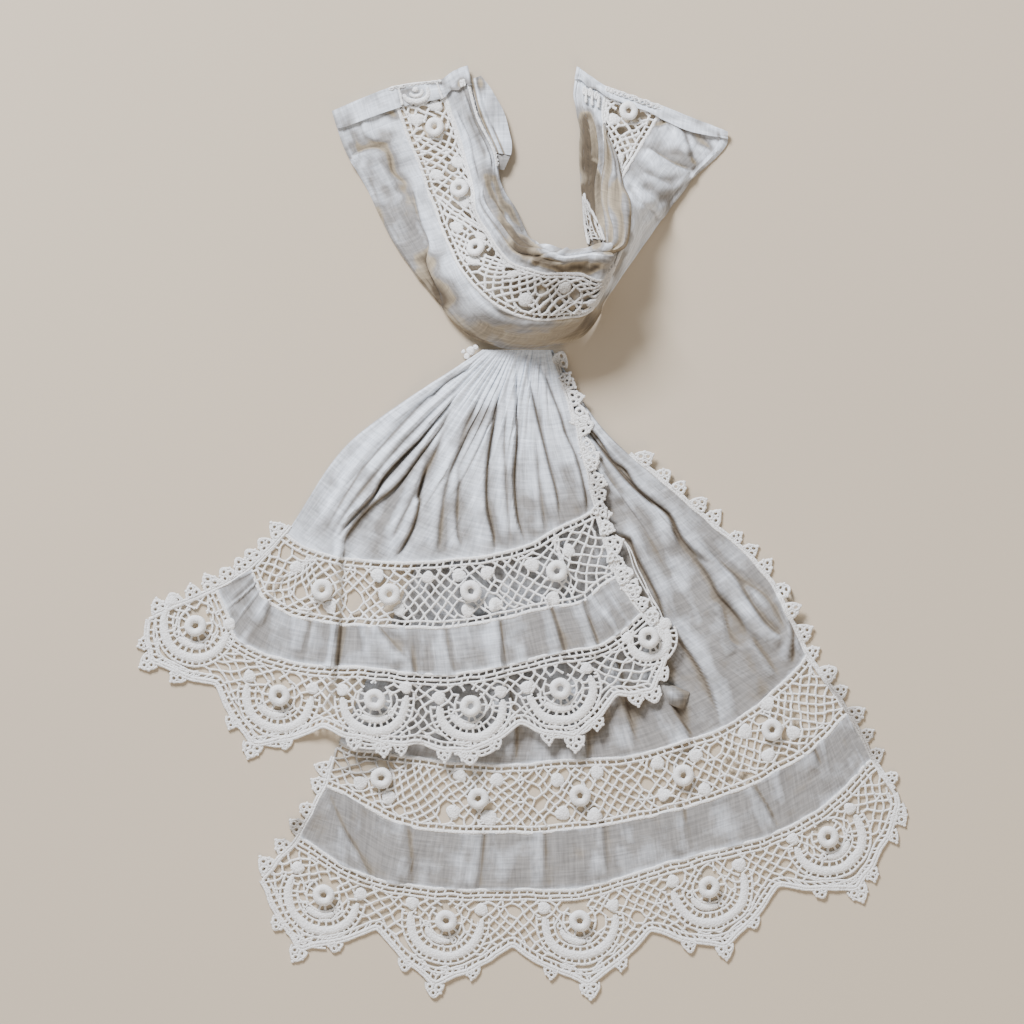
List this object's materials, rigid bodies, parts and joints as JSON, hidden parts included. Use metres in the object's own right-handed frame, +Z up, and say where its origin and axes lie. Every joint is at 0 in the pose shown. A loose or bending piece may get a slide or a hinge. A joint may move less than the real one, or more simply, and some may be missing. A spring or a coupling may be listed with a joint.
{
  "type": "jabot collar",
  "caption": "Linen collar band with a lace insertion and two gathered falls of linen and crochet lace, laid flat with the front of the band standing.",
  "frame": {"origin": "on the table, under the middle of the outline", "axes": "+Z up from the table, +Y from the hems to the neck opening, +X to the side of the long fall's higher corner"},
  "size_m": [0.3228, 0.3903, 0.0344],
  "materials": {
    "linen": "sheer plain weave linen, matte",
    "crochet_lace": "crochet cotton, matte",
    "padded_ring": "cotton worked over padding, matte"
  },
  "bodies": {
    "root": {"collar_outer_strip": "linen", "collar_neck_strip": "linen", "collar_left_end_hem": "linen", "collar_right_end_hem": "linen", "collar_left_flap": "linen", "long_gathered_panel": "linen", "long_linen_strip": "linen", "short_gathered_panel": "linen", "short_linen_strip": "linen", "collar_lace_insertion": "crochet_lace", "long_lace_insertion": "crochet_lace", "long_scalloped_edging": "crochet_lace", "long_left_trim": "crochet_lace", "long_right_trim": "crochet_lace", "short_lace_insertion": "crochet_lace", "short_scalloped_edging": "crochet_lace", "short_left_trim": "crochet_lace", "short_right_trim": "crochet_lace", "collar_ring_1": "padded_ring", "collar_ring_2": "padded_ring", "collar_ring_3": "padded_ring", "collar_ring_4": "padded_ring", "long_ring_1": "padded_ring", "long_ring_2": "padded_ring", "long_ring_3": "padded_ring", "long_ring_4": "padded_ring", "long_ring_5": "padded_ring", "long_ring_6": "padded_ring", "long_ring_7": "padded_ring", "long_ring_8": "padded_ring", "long_ring_9": "padded_ring", "long_ring_10": "padded_ring", "short_ring_1": "padded_ring", "short_ring_2": "padded_ring", "short_ring_3": "padded_ring", "short_ring_4": "padded_ring", "short_ring_5": "padded_ring", "short_ring_6": "padded_ring", "short_ring_7": "padded_ring", "short_ring_8": "padded_ring", "short_ring_9": "padded_ring", "short_ring_10": "padded_ring"}
  },
  "joints": []
}
